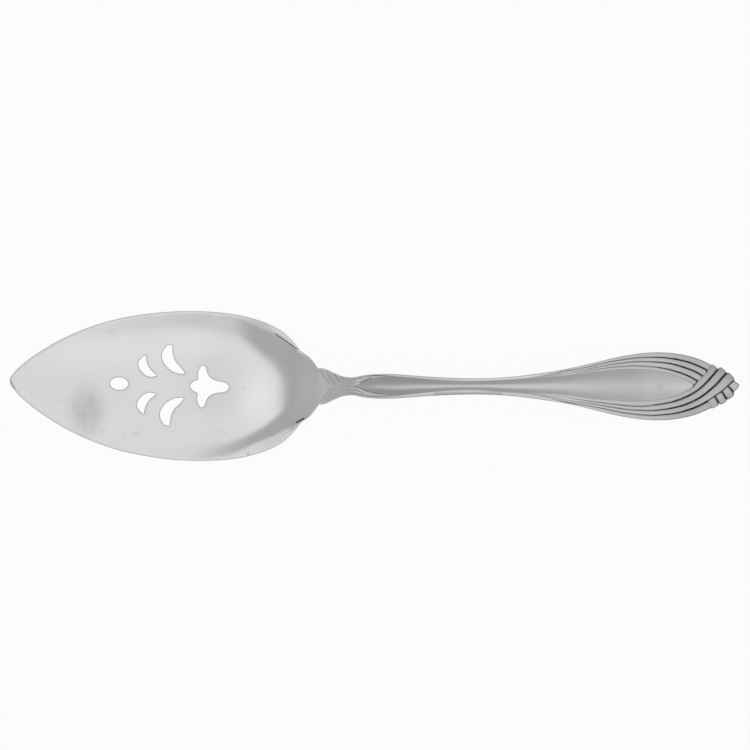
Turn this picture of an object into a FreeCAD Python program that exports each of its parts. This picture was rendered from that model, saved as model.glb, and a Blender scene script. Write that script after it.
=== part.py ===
import FreeCAD, Part
import math
import os

# Pie server stamped and forged in one piece of stainless steel, in millimetres.
# X runs along the length, the tip at -X and the end of the handle at +X.
# Y is across, Z is up, and the flat of the blade lies on Z = 0.

os.makedirs("parts", exist_ok=True)

Vector = FreeCAD.Vector

# Lengths, one after the other from the tip
blade_length = 113.0
neck_length = 11.5
swell_length = 13.2
shaft_length = 30.7
leaf_length = 67.8
tail_length = 30.5

# Blade
blade_width = 54.8
blade_thickness = 1.5
tip_skew = 1.95
heel_skew = 0.25

# Dished heel of the blade: floor, hollow wall and nearly level lip
dish_length = 45.0
ramp_length = 19.3
lip_rise = 3.0
lip_width = 4.3
floor_least = 0.4
wall_hollow = 1.8
sheet_margin = 3.0
tip_margin = 5.0
cut_depth = 1.0

# Side profile of the steel, measured to the middle of its thickness
heel_height = 8.0
neck_height = 13.6
swell_height = 16.6
arch_height = 18.6
foot_clearance = 0.05

# Handle, across
neck_width = 13.2
waist_width = 6.5
swell_width = 9.1
shaft_width = 5.95
leaf_width = 24.9
end_width = 14.2
panel_width = 12.2

# Handle, through
neck_thickness = 4.4
shaft_thickness = 4.0
leaf_thickness = 3.0
end_thickness = 2.4
crown_share = 0.22
core_inset = 0.35

# Strands of the plait, and the raised panel between them
strands_in_bundle = 4
strands_over = 3
strands_in_fork = 3
groove_width = 0.2
strand_rise = 0.5
strand_root = 0.9
strand_chords = 4
panel_rise = 0.45
panel_chords = 8
straps = 3

# Heights in strand rises, by which a strand lies over its neighbours or sinks away
crossing_lift = 0.9
stub_lift = 0.2
sunk = -0.8

# Straps of the neck, as shares of its length
strap_start = 0.026
strap_pitch = 0.226
strap_reach = 0.383
strap_flatten = 0.043

# Piercings of the blade: a fleur, two pairs of crescents and an eye
fleur_length = 14.2
fleur_to_heel = 41.6
fleur_offset = -0.1
pattern_tilt = 1.97
eye_length = 6.6
eye_width = 4.5
eye_ahead = 31.4

stations = [0.0]
for length in (blade_length, neck_length, swell_length, shaft_length, leaf_length, tail_length):
    stations.append(stations[-1] + length)
overall_length = stations[-1]


def at(place):
    """X of a place. 0 is the tip, 1 the heel corner, 2 the waist, 3 the swell, 4 the narrow
    shaft, 5 the widest leaf and 6 the end; a fraction is a share of the way to the next."""
    number = min(int(place), len(stations) - 2)
    share = place - number
    return stations[number] * (1 - share) + stations[number + 1] * share - overall_length / 2


def dish_at(share):
    """X of a share of the dish's length, 0 at its front and 1 at the heel corner."""
    return at(1) - dish_length * (1 - share)


def track(points):
    """A smooth value along the length, through (x, value) points."""
    curve = Part.BSplineCurve()
    places = [x for x, value in points]
    curve.interpolate(Points=[Vector(x, value, 0) for x, value in points], Parameters=places)
    first = places[0]
    last = places[-1]

    def read(x):
        return curve.value(min(max(x, first), last)).y

    return read


def spline(points):
    curve = Part.BSplineCurve()
    curve.interpolate([Vector(*point) for point in points])
    return curve.toShape()


# Outline of the blade: places along it and shares of half its width

half_blade = blade_width / 2
blade_sides = [
    (0.0066, 0.075), (0.0168, 0.128), (0.0363, 0.210), (0.114, 0.450), (0.239, 0.725),
    (0.407, 0.925), (0.598, 1.0), (0.770, 0.935), (0.862, 0.790), (0.910, 0.630),
    (0.948, 0.455), (0.970, 0.395), (1.0, neck_width / blade_width),
]
blade_shape = track([(at(place), share * half_blade) for place, share in blade_sides])


def blade_middle(x):
    """The blade leans a little to one side of the handle's line."""
    share = (x - at(0)) / blade_length
    return tip_skew * (1 - share) ** 2 - heel_skew * share * (2 - share)


def blade_outline(bottom, top):
    """Prism of the blade's outline, square across at the neck."""
    upper = []
    lower = []
    for place, share in blade_sides:
        x = at(place)
        upper.append((x, blade_middle(x) + share * half_blade, bottom))
        lower.append((x, blade_middle(x) - share * half_blade, bottom))
    tip = Vector(at(0), blade_middle(at(0)), bottom)
    nose = Part.Arc(Vector(*lower[0]), tip, Vector(*upper[0])).toShape()
    back = Part.makeLine(Vector(*upper[-1]), Vector(*lower[-1]))
    wire = Part.Wire([nose, spline(upper), back, spline(list(reversed(lower)))])
    return Part.Face(wire).extrude(Vector(0, 0, top - bottom))


# Dished form of the blade, and the line of the whole server seen from the side

spine = track([
    (at(1) - 1.6 * ramp_length, blade_thickness / 2),
    (at(1) - 1.25 * ramp_length, blade_thickness / 2),
    (at(1) - ramp_length, blade_thickness / 2),
    (at(1) - 0.733 * ramp_length, blade_thickness / 2 + 0.064 * heel_height),
    (at(1) - 0.466 * ramp_length, blade_thickness / 2 + 0.257 * heel_height),
    (at(1) - 0.233 * ramp_length, 0.665 * heel_height),
    (at(1), heel_height),
    (at(1.478), 0.5 * heel_height + 0.5 * neck_height),
    (at(2), neck_height),
    (at(3), swell_height),
    (at(4.1), arch_height),
    (at(4.77), 0.62 * arch_height),
    (at(5.4), 0.27 * arch_height),
    (at(6), foot_clearance + end_thickness / 2),
])

lip_height = track([
    (dish_at(0), 0.0),
    (dish_at(0.16), 0.25 * lip_rise),
    (dish_at(0.36), 0.62 * lip_rise),
    (dish_at(0.48), 0.80 * lip_rise),
    (dish_at(0.6), 0.93 * lip_rise),
    (dish_at(0.725), 1.03 * lip_rise),
    (dish_at(0.79), 1.12 * lip_rise),
    (dish_at(0.85), 0.5 * heel_height),
    (dish_at(0.9), 0.62 * heel_height),
    (dish_at(1), heel_height - blade_thickness / 2),
])

lip_track = track([
    (dish_at(0), 0.08 * lip_width),
    (dish_at(0.2), 0.12 * lip_width),
    (dish_at(0.36), 0.30 * lip_width),
    (dish_at(0.48), 0.78 * lip_width),
    (dish_at(0.6), 0.80 * lip_width),
    (dish_at(0.725), 0.60 * lip_width),
    (dish_at(0.84), 0.24 * lip_width),
    (dish_at(0.9), 0.12 * lip_width),
    (dish_at(1), 0.08 * lip_width),
])

floor_half = track([
    (dish_at(0), 0.78 * half_blade),
    (dish_at(0.2), 0.71 * half_blade),
    (dish_at(0.36), 0.56 * half_blade),
    (dish_at(0.48), 0.41 * half_blade),
    (dish_at(0.6), 0.21 * half_blade),
    (dish_at(0.7), 0.07 * half_blade),
    (dish_at(0.78), floor_least),
    (dish_at(1), floor_least),
])


def dish_line(x, lift):
    """Half of a cross-section, from the lip's edge down the wall to the floor, as (across, height)."""
    floor = max(spine(x) - blade_thickness / 2, 0.0)
    rim = max(lip_height(x), floor)
    lip_inside = blade_shape(x) - lip_track(x)
    floor_side = max(floor_half(x), floor_least)
    wall = []
    for share in (1.0, 0.8, 0.6, 0.4, 0.2, 0.0):
        across = floor_side + (lip_inside - floor_side) * share
        wall.append((across, floor + (rim - floor) * share ** wall_hollow + lift))
    return (blade_shape(x) + sheet_margin, rim + lift), wall


def dish_side(x, lift):
    """Edges of one face of the sheet, from one lip over the floor to the other."""
    middle = blade_middle(x)
    end, wall = dish_line(x, lift)
    right = [Vector(x, middle + across, height) for across, height in wall]
    left = [Vector(x, middle - across, height) for across, height in reversed(wall)]
    right_end = Vector(x, middle + end[0], end[1])
    left_end = Vector(x, middle - end[0], end[1])
    edges = [
        Part.makeLine(right_end, right[0]),
        spline(right),
        Part.makeLine(right[-1], left[0]),
        spline(left),
        Part.makeLine(left[-1], left_end),
    ]
    return edges, right_end, left_end


def dish_section(x):
    """Closed section of the sheet: lips, walls and floor, over and under."""
    under, under_right, under_left = dish_side(x, 0.0)
    over, over_right, over_left = dish_side(x, blade_thickness)
    over = [edge.reversed() for edge in reversed(over)]
    left_side = Part.makeLine(under_left, over_left)
    right_side = Part.makeLine(over_right, under_right)
    return Part.Wire(under + [left_side] + over + [right_side])


def blade():
    """Flat front plate and dished rear sheet, cut to the outline."""
    outline = blade_outline(-cut_depth, 3 * heel_height)
    front = Part.makeBox(dish_at(0) - at(0) + tip_margin, 1.2 * blade_width, blade_thickness)
    front.translate(Vector(at(0) - tip_margin, -0.6 * blade_width, 0))
    shares = (0, 0.15, 0.3, 0.42, 0.52, 0.6, 0.67, 0.73, 0.78, 0.83, 0.88, 0.94, 1.01)
    rear = Part.makeLoft([dish_section(dish_at(share)) for share in shares], True, True)
    return front.common(outline).fuse(rear.common(outline))


# Piercings, in the pattern's own lines: (ahead, aside) as shares of the fleur's length

def on_pattern(ahead, aside):
    tilt = math.radians(pattern_tilt)
    ahead = ahead * fleur_length
    aside = aside * fleur_length
    x = at(1) - fleur_to_heel - ahead * math.cos(tilt) + aside * math.sin(tilt)
    y = fleur_offset + ahead * math.sin(tilt) + aside * math.cos(tilt)
    return (x, y, -cut_depth)


def pierce(runs):
    """Punch whose outline is made of splines that meet at corners."""
    edges = [spline([on_pattern(ahead, aside) for ahead, aside in run]) for run in runs]
    return Part.Face(Part.Wire(edges)).extrude(Vector(0, 0, 3 * heel_height))


def crescent(outer, inner, side):
    """Crescent between two curves, on one side of the pattern's line."""
    outer = [(ahead, side * aside) for ahead, aside in outer]
    inner = [(ahead, side * aside) for ahead, aside in inner]
    return pierce([outer, [outer[-1], inner[0]], inner, [inner[-1], outer[0]]])


def piercings():
    small_outer = [(1.563, 0.761), (1.732, 0.542), (1.634, 0.324), (1.408, 0.204), (1.254, 0.232)]
    small_inner = [(1.261, 0.254), (1.415, 0.387), (1.521, 0.577), (1.549, 0.761)]
    large_outer = [(1.014, 1.021), (1.134, 0.789), (1.049, 0.535), (0.817, 0.352), (0.563, 0.303)]
    large_inner = [(0.542, 0.345), (0.648, 0.472), (0.789, 0.627), (0.866, 0.852), (0.880, 1.035)]
    lobe = [(0.173, -0.169), (0.303, -0.113), (0.38, 0), (0.303, 0.113), (0.173, 0.169)]
    arm = [(0.173, 0.169), (0.187, 0.338), (0.141, 0.479), (0.06, 0.539), (0.004, 0.486),
           (-0.035, 0.366), (-0.113, 0.243), (-0.254, 0.165), (-0.458, 0.123), (-0.556, 0.088), (-0.62, 0)]
    other_arm = [(ahead, -aside) for ahead, aside in reversed(arm)]
    punches = [pierce([lobe, arm, other_arm])]
    for side in (1, -1):
        punches.append(crescent(small_outer, small_inner, side))
        punches.append(crescent(large_outer, large_inner, side))
    eye = Part.Ellipse(Vector(0, 0, 0), eye_length / 2, eye_width / 2).toShape()
    eye = Part.Face(Part.Wire([eye])).extrude(Vector(0, 0, 3 * heel_height))
    eye.translate(Vector(*on_pattern(eye_ahead / fleur_length, 0)))
    punches.append(eye)
    return punches


# Core of the handle

half_width = track([
    (at(0.956), 0.40 * neck_width),
    (at(1), 0.5 * neck_width),
    (at(1.15), 0.495 * neck_width),
    (at(1.435), 0.394 * neck_width),
    (at(1.81), 0.27 * neck_width),
    (at(2), 0.5 * waist_width),
    (at(2.35), 0.438 * swell_width),
    (at(3), 0.5 * swell_width),
    (at(3.4), 0.412 * swell_width),
    (at(4), 0.5 * shaft_width),
    (at(4.26), 0.153 * leaf_width),
    (at(4.451), 0.227 * leaf_width),
    (at(4.711), 0.381 * leaf_width),
    (at(5), 0.5 * leaf_width),
    (at(5.433), 0.432 * leaf_width),
    (at(5.718), 0.5 * end_width),
    (at(5.862), 0.36 * end_width),
    (at(5.951), 0.18 * end_width),
])

thickness = track([
    (at(0.973), 0.28 * neck_thickness),
    (at(1), 0.48 * neck_thickness),
    (at(1.261), 0.86 * neck_thickness),
    (at(2), neck_thickness),
    (at(4), shaft_thickness),
    (at(5), leaf_thickness),
    (at(6), end_thickness),
])

panel_half = track([
    (at(2.167), 0.005 * panel_width),
    (at(2.409), 0.42 * swell_width / 2),
    (at(2.735), 0.72 * swell_width / 2),
    (at(3.5), 0.56 * swell_width / 2),
    (at(4), 0.56 * shaft_width / 2),
    (at(4.25), 0.19 * panel_width),
    (at(4.451), 0.28 * panel_width),
    (at(4.816), 0.47 * panel_width),
    (at(5), 0.455 * panel_width),
    (at(5.302), 0.27 * panel_width),
    (at(5.443), 0.003 * panel_width),
])


def core_top(x, y):
    """Height of the core's crowned upper face."""
    across = y / half_width(x)
    return spine(x) + thickness(x) * (0.5 - crown_share * across * across)


def core_section(x):
    half = half_width(x) - core_inset
    deep = thickness(x)
    middle = spine(x)
    edge_top = core_top(x, half)
    edge_bottom = middle - crown_share * deep
    right_top = Vector(x, half, edge_top)
    left_top = Vector(x, -half, edge_top)
    right_bottom = Vector(x, half, edge_bottom)
    left_bottom = Vector(x, -half, edge_bottom)
    over = Part.Arc(left_top, Vector(x, 0, middle + deep / 2), right_top).toShape()
    under = Part.Arc(right_bottom, Vector(x, 0, middle - deep / 2), left_bottom).toShape()
    right = Part.makeLine(right_top, right_bottom)
    left = Part.makeLine(left_bottom, left_top)
    return Part.Wire([over, right, under, left])


def core():
    """Solid handle lofted through its cross-sections."""
    places = (
        0.973, 1.0, 1.35, 1.7, 2.0, 2.49, 3.0, 3.43, 4.0, 4.2, 4.33, 4.451, 4.63, 4.816,
        5.0, 5.2, 5.377, 5.59, 5.718, 5.852, 5.928,
    )
    return Part.makeLoft([core_section(at(place)) for place in places], True, True)


# Strands: each lies between two rails in plan, on the crowned face of the core

def rail(points):
    """Curve in plan through its points, read by their count along it."""
    curve = Part.BSplineCurve()
    curve.interpolate(Points=[Vector(x, y, 0) for x, y in points], Parameters=list(range(len(points))))
    return curve.value


def straight_rail(start, end):
    """Straight line in plan, read by the share of the way from its start."""
    first = Vector(start[0], start[1], 0)
    second = Vector(end[0], end[1], 0)

    def read(step):
        return first * (1 - step) + second * step

    return read


def share_between(first, second, share):
    def read(step):
        return first(step) * (1 - share) + second(step) * share

    return read


def ring(near, far, lift, size, rise, chords):
    """Section of a strand between two points in plan: crown of chords, sides let into the core."""
    middle = (near + far) * 0.5
    across = far - near
    reach = across * (0.5 * size * (1 - groove_width / across.Length))
    middle.z = core_top(middle.x, middle.y) + lift * strand_rise
    points = [middle - reach - Vector(0, 0, strand_root)]
    for chord in range(chords + 1):
        turn = math.pi * chord / chords
        points.append(middle - reach * math.cos(turn) + Vector(0, 0, rise * size * math.sin(turn)))
    points.append(middle + reach - Vector(0, 0, strand_root))
    points.append(points[0])
    return Part.makePolygon(points)


def strand(near, far, rings, rise=strand_rise, chords=strand_chords):
    """Strand with straight runs between its (step, lift, size) rings, set between two rails."""
    sections = [ring(near(step), far(step), lift, size, rise, chords) for step, lift, size in rings]
    return Part.makeLoft(sections, True, True)


def mirrored(shape):
    return shape.mirror(Vector(0, 0, 0), Vector(0, 1, 0))


def outline_point(x, side=1):
    return (x, side * (half_width(x) + groove_width / 2))


def bundle_point(x, share, side=1):
    """Point between the outline and the panel, at a share of the way in."""
    outside = half_width(x)
    return (x, side * (outside - share * (outside - panel_half(x))))


def leaf_points(points):
    """Points on the leaf from (place, share of half its width) pairs."""
    return [(at(place), share * leaf_width / 2) for place, share in points]


def blend(first, second, share):
    return [(a[0] * (1 - share) + b[0] * share, a[1] * (1 - share) + b[1] * share) for a, b in zip(first, second)]


upper_outer = [outline_point(at(place)) for place in (4.481, 4.643, 4.804, 4.966, 5.187, 5.403, 5.643)]
upper_inner = leaf_points([
    (4.493, 0.30), (4.653, 0.40), (4.81, 0.48), (4.96, 0.465),
    (5.115, 0.375), (5.295, 0.20), (5.433, 0.06),
])
crossing_inner = leaf_points([
    (4.493, -0.26), (4.653, -0.35), (4.81, -0.40), (4.96, -0.40), (5.121, -0.36), (5.282, -0.21),
    (5.413, -0.03), (5.515, 0.22), (5.6, 0.46), (5.669, 0.66), (5.715, 0.82),
])
crossing_outer = leaf_points([
    (4.481, -0.43), (4.643, -0.575), (4.804, -0.74), (4.966, -0.835), (5.187, -0.815), (5.403, -0.66),
    (5.584, -0.48), (5.715, -0.28), (5.833, -0.05), (5.934, 0.17), (6.026, 0.39),
])
edge_outer = [outline_point(at(place), -1) for place in (4.481, 4.643, 4.804, 4.966, 5.213, 5.456, 5.646)]


def long_strand(side, rear_outer, rear_inner):
    """Outermost strand of one side, from the neck along the shaft to the leaf's end."""
    places = [at(place) for place in (1.835, 2.189, 2.53, 3.04, 3.43, 4, 4.196, 4.373)]
    shares = [1 / strands_in_fork] * 3 + [1.0] * 5
    outer = rail([outline_point(x, side) for x in places] + rear_outer)
    inner = rail([bundle_point(x, share, side) for x, share in zip(places, shares)] + rear_inner)
    last = len(places) + len(rear_outer) - 1
    rings = [(0, 0.75 * sunk, 0.9)]
    rings += [(step, 0, 1.0) for step in range(1, last)]
    rings += [(last - 0.2, 0, 0.95), (last, 0.3 * sunk, 0.7)]
    return strand(outer, inner, rings)


def long_strands():
    upper = long_strand(1, upper_outer, blend(upper_outer, upper_inner, 1 / strands_in_bundle))
    lower = long_strand(-1, edge_outer, crossing_outer[:6] + leaf_points([(5.61, -0.455)]))
    return [upper, lower]


def fork():
    """Inner strands that part round the front point of the panel."""
    places = [at(place) for place in (2.053, 2.265, 2.492, 2.758)]
    shapes = []
    for number in range(1, strands_in_fork):
        outer = rail([bundle_point(x, number / strands_in_fork) for x in places])
        inner = rail([bundle_point(x, (number + 1) / strands_in_fork) for x in places])
        one = strand(outer, inner, [(0, 0.5 * sunk, 0.9), (1, 0, 1.0), (2, 0.25 * sunk, 1.0), (3, sunk, 0.9)])
        shapes += [one, mirrored(one)]
    return shapes


def neck_straps():
    """Straps crossing the neck in arrow shapes that point along the handle."""
    shapes = []
    for number in range(straps):
        lines = []
        for line in (number, number + 1):
            place = 1 + strap_start + strap_pitch * line
            side = at(place)
            point = at(place + strap_reach - strap_flatten * line)
            wide = half_width(side) - groove_width
            lines.append(rail([(side, wide), (point, 0), (side, -wide)]))
        rings = [(0, 0.25 * sunk, 1.0), (0.5, 0, 1.0), (1, 0, 1.0), (1.5, 0, 1.0), (2, 0.25 * sunk, 1.0)]
        shapes.append(strand(lines[0], lines[1], rings))
    return shapes


def panel():
    """Raised panel, a spear in front that widens over the leaf to its rear point."""
    front = [at(place) for place in (2.3, 2.409, 2.58, 2.735, 3.0, 3.5, 4.0, 4.25)]
    upper = rail([(x, panel_half(x)) for x in front] + upper_inner)
    lower = rail([(x, -panel_half(x)) for x in front] + crossing_inner[:7])
    last = len(front) + len(upper_inner) - 1
    rings = [(0, 0.5 * sunk, 0.6)]
    rings += [(step, 0, 1.0) for step in range(1, last - 1)]
    rings += [(last - 1, 0, 0.8), (last - 0.3, 0, 0.4)]
    return strand(upper, lower, rings, panel_rise, panel_chords)


def upper_bundle():
    """Inner strands of the leaf's upper side, which stop where the crossing ones pass over."""
    outer = rail(upper_outer)
    inner = rail(upper_inner)
    rings = [(0, sunk, 1.0)]
    rings += [(step, 0, 1.0) for step in range(1, 6)]
    rings += [(5.8, 0, 0.95), (6, 0.3 * sunk, 0.7)]
    shapes = []
    for number in range(1, strands_in_bundle):
        near = share_between(outer, inner, number / strands_in_bundle)
        far = share_between(outer, inner, (number + 1) / strands_in_bundle)
        shapes.append(strand(near, far, rings))
    return shapes


def crossing_strands():
    """Lower strands that sweep across the end of the leaf and finish in round noses."""
    inner = rail(crossing_inner)
    outer = rail(crossing_outer)
    rings = [(0, sunk, 1.0)]
    rings += [(step, 0, 1.0) for step in range(1, 5)]
    rings += [(5, 0.27 * crossing_lift, 1.0), (6, 0.6 * crossing_lift, 1.0)]
    rings += [(7, crossing_lift, 1.0), (8, crossing_lift, 1.0)]
    rings += [(8.7, 0.9 * crossing_lift, 0.98), (9, 0.6 * crossing_lift, 0.82), (9.18, 0.3 * crossing_lift, 0.5)]
    shapes = []
    for number in range(strands_over):
        near = share_between(inner, outer, number / strands_over)
        far = share_between(inner, outer, (number + 1) / strands_over)
        shapes.append(strand(near, far, rings))
    return shapes


def stubs():
    """Ends of the upper strands, which come out from under the crossing ones."""
    roots = leaf_points([(5.626, -0.455), (5.705, -0.345), (5.784, -0.185), (5.859, -0.03), (5.938, 0.15)])
    tips = leaf_points([(5.656, -0.635), (5.764, -0.56), (5.856, -0.385), (5.96, -0.16), (6.003, 0.14)])
    rings = [(0.06, stub_lift, 1.0), (0.72, stub_lift, 0.98), (0.95, 0.5 * stub_lift, 0.86), (1.1, 0, 0.55)]
    shapes = []
    for number in range(strands_in_bundle):
        near = straight_rail(roots[number], tips[number])
        far = straight_rail(roots[number + 1], tips[number + 1])
        shapes.append(strand(near, far, rings))
    return shapes


def pie_server():
    """Blade, handle and plait as one solid."""
    relief = long_strands() + fork() + neck_straps() + upper_bundle() + crossing_strands() + stubs()
    whole = core()
    for piece in relief + [panel(), blade()]:
        whole = whole.fuse(piece)
    return whole.cut(Part.makeCompound(piercings()))


solid = pie_server()
solid.exportStep("parts/pie_server.step")
box = solid.BoundBox
print("solids", len(solid.Solids), "valid", solid.isValid(), "faces", len(solid.Faces))
print("volume", round(solid.Volume, 1), "box", [round(v, 2) for v in (
    box.XMin, box.YMin, box.ZMin, box.XMax, box.YMax, box.ZMax)])
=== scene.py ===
import math

import bpy
import numpy as np
from mathutils.geometry import delaunay_2d_cdt
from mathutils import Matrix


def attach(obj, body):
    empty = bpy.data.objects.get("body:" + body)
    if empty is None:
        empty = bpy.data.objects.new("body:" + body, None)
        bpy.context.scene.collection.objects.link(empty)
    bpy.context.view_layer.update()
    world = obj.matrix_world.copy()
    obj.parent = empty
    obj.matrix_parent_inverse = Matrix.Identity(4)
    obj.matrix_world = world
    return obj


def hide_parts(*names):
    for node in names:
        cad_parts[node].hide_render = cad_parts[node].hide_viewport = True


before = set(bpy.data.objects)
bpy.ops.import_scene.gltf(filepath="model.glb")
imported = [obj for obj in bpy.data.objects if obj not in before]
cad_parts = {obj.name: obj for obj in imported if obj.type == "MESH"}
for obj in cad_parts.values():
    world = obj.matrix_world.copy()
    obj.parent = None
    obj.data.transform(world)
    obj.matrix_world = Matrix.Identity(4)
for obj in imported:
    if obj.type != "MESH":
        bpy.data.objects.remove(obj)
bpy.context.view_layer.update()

# Pie server in satin steel. Lengths are in millimetres until a mesh is made.
# "Run" is a distance from the tip, "past" one from the heel corner of the blade
# and "back" one from the end of the handle, as in the solid.

MM = 0.001

overall_length = 266.7
blade_length = 113.0
blade_width = 54.8
sheet = 1.5
tip_skew = 1.95
heel_skew = 0.25
heel_height = 8.0
floor_least = 0.4
neck_width = 13.2
waist_width = 6.5
swell_width = 9.1
shaft_width = 5.95
leaf_width = 24.9
end_width = 14.2
neck_thickness = 4.4
shaft_thickness = 4.0
leaf_thickness = 3.0
end_thickness = 2.4
edge_round = 0.38
core_inset = 0.35
# Run at which the dish begins on the upper and lower side, and how steeply its lip climbs there
dish_runs = (18.0, 50.0)
lip_climbs = (0.07, 0.05)
# Fall of the handle's crown at its edge, as a share of the thickness
crown_fall = 0.22
# Ends of the handle's panel, past the heel corner and back from the end
panel_past = 13.7
panel_back = 16.9


def from_run(run):
    return run - overall_length / 2


def from_past(past):
    return from_run(blade_length + past)


def from_back(back):
    return from_run(overall_length - back)


def stations(run=(), past=(), back=()):
    """Points with a value each, with their places given in the three ways above."""
    return ([(from_run(place), value) for place, value in run]
            + [(from_past(place), value) for place, value in past]
            + [(from_back(place), value) for place, value in back])


def solve_spline(places, values):
    """Second derivatives of a natural cubic spline."""
    count = len(places)
    gap = np.diff(places)
    system = np.eye(count)
    right = np.zeros(count)
    for i in range(1, count - 1):
        system[i, i - 1] = gap[i - 1] / 6
        system[i, i] = (gap[i - 1] + gap[i]) / 3
        system[i, i + 1] = gap[i] / 6
        right[i] = (values[i + 1] - values[i]) / gap[i] - (values[i] - values[i - 1]) / gap[i - 1]
    return np.linalg.solve(system, right)


def track(points):
    """A smooth value along the length, through (place, value) points."""
    places = np.array([p for p, v in points], float)
    values = np.array([v for p, v in points], float)
    bend = solve_spline(places, values)

    def read(place):
        place = np.clip(place, places[0], places[-1])
        i = np.clip(np.searchsorted(places, place) - 1, 0, len(places) - 2)
        gap = places[i + 1] - places[i]
        a = (places[i + 1] - place) / gap
        b = 1 - a
        line = a * values[i] + b * values[i + 1]
        return line + ((a ** 3 - a) * bend[i] + (b ** 3 - b) * bend[i + 1]) * gap ** 2 / 6

    return read


def distances(line):
    """How far each point lies from the first, along the line."""
    return np.concatenate([[0], np.cumsum(np.hypot(*np.diff(line, axis=0).T))])


def curve_through(points, count):
    """Evenly spaced points on a smooth curve in plan, from (x, y) points."""
    points = np.array(points, float)
    chord = distances(points)
    across = track(list(zip(chord, points[:, 0])))
    along = track(list(zip(chord, points[:, 1])))
    fine = np.linspace(0, chord[-1], 40 * len(points))
    line = np.column_stack([across(fine), along(fine)])
    return spread(line, count)


def spread(line, count):
    """The same line, with its points at even distances."""
    reach = distances(line)
    even = np.linspace(0, reach[-1], count)
    return np.column_stack([np.interp(even, reach, line[:, 0]), np.interp(even, reach, line[:, 1])])


# Form of the blade and the handle

half_blade = blade_width / 2
nose_run = 1.17
nose_half = 2.62
blade_shape = track(stations(
    run=[(nose_run, nose_half), (1.9, 3.5), (3.36, 5.05), (5.2, 6.7), (8.5, 9.35), (12.85, 12.32), (17.2, 15),
        (21.6, 17.3), (26, 19.35), (32.6, 21.9), (41.3, 24.42), (50.1, 26.05), (58.8, 27.03),
        (67.6, half_blade - 0.02), (76.4, 27.05), (85.1, 25.9), (89.5, 24.82), (93.9, 23.3), (98, 21.35),
        (100.4, 19.75), (102.6, 17.7), (104.8, 15.25), (106.6, 13), (107.7, 12.25), (109.2, 11.2),
        (110.7, 9.7), (112.1, 7.85), (113, neck_width / 2)],
))

spine = track(stations(
    run=[(82.1, 0.75), (88.9, 0.75), (93.7, 0.75), (98.85, 1.1), (104, 2.66), (108.5, 5.32)],
    past=[(0, heel_height), (5.5, 10.8), (11.5, 13.6), (24.7, 16.6), (62.2, 18.6)],
    back=[(46.1, 11.53), (18.3, 5.02), (0, 1.25)],
))

# The dish of the blade, on its upper and lower side in plan: height of the lip's inner
# line, width of the lip, and half width of the floor
rim_upper = track(stations(
    run=[(18, 0), (28, 0.6), (40.4, 1.15), (55, 1.45), (69.6, 1.65), (76.9, 1.75), (84.2, 2), (89.7, 2.55),
        (95.2, 3.55), (100.6, 4.15), (104, 4.4), (106.4, 4.7), (109, 5.4), (113, 7.25)],
))
rim_lower = track(stations(
    run=[(50, 0), (60, 0.35), (69.6, 0.65), (76.9, 1.05), (84.2, 1.2), (89.7, 1.33), (95.2, 1.8),
        (100.6, 2.45), (104, 3.1), (106.4, 4.05), (109, 5.3), (113, 7.25)],
))
lip_upper = track(stations(
    run=[(18, 0.3), (80, 0.3), (84.2, 0.7), (89.7, 2.6), (95.2, 2.7), (100.6, 1.7), (104, 1), (107, 0.5),
        (113, 0.3)],
))
lip_lower = track(stations(
    run=[(50, 0.3), (73, 0.5), (78, 1.2), (84.2, 2.6), (89.7, 4.2), (95.2, 4.7), (100.6, 4.2), (104, 2.2),
        (107, 0.8), (113, 0.3)],
))
floor_upper = track(stations(
    run=[(18, 10), (28, 12.5), (40.4, 15), (55, 17.2), (69.6, 17.5), (76.9, 15.8), (84.2, 13.2), (89.7, 9.8),
        (95.2, 5.2), (98.5, 2.6), (101.5, floor_least), (113, floor_least)],
))
floor_lower = track(stations(
    run=[(50, 21.5), (60, 21), (69.6, 19.7), (76.9, 19), (84.2, 17), (89.7, 14.9), (95.2, 11.5), (98.5, 9),
        (101.5, 6.4), (104, 2.6), (106, floor_least), (113, floor_least)],
))

half_width = track(stations(
    past=[(-5, 0.40 * neck_width), (0, 0.5 * neck_width), (1.7, 6.53), (5, 5.2), (9.3, 3.6),
        (11.5, waist_width / 2), (15.9, 3.97), (20.3, 4.44), (24.7, swell_width / 2), (29, 4.38), (37.8, 3.7),
        (46.6, 3.2), (55.3, shaft_width / 2), (64.1, 3.14), (72.9, 3.8)],
    back=[(72.1, 4.98), (63.3, 6.46), (54.6, 8.38), (45.8, 10.5), (37, 12), (30.5, leaf_width / 2),
        (21.7, 11.77), (17.3, 10.77), (12.9, 9.16), (8.6, end_width / 2), (4.2, 5.1), (1.5, 2.55)],
))

thickness = track(stations(
    past=[(-3, 0.28 * neck_thickness), (0, 0.48 * neck_thickness), (3, 0.86 * neck_thickness),
        (11.5, neck_thickness), (55.4, shaft_thickness)],
    back=[(30.5, leaf_thickness), (0, end_thickness)],
))

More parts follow.
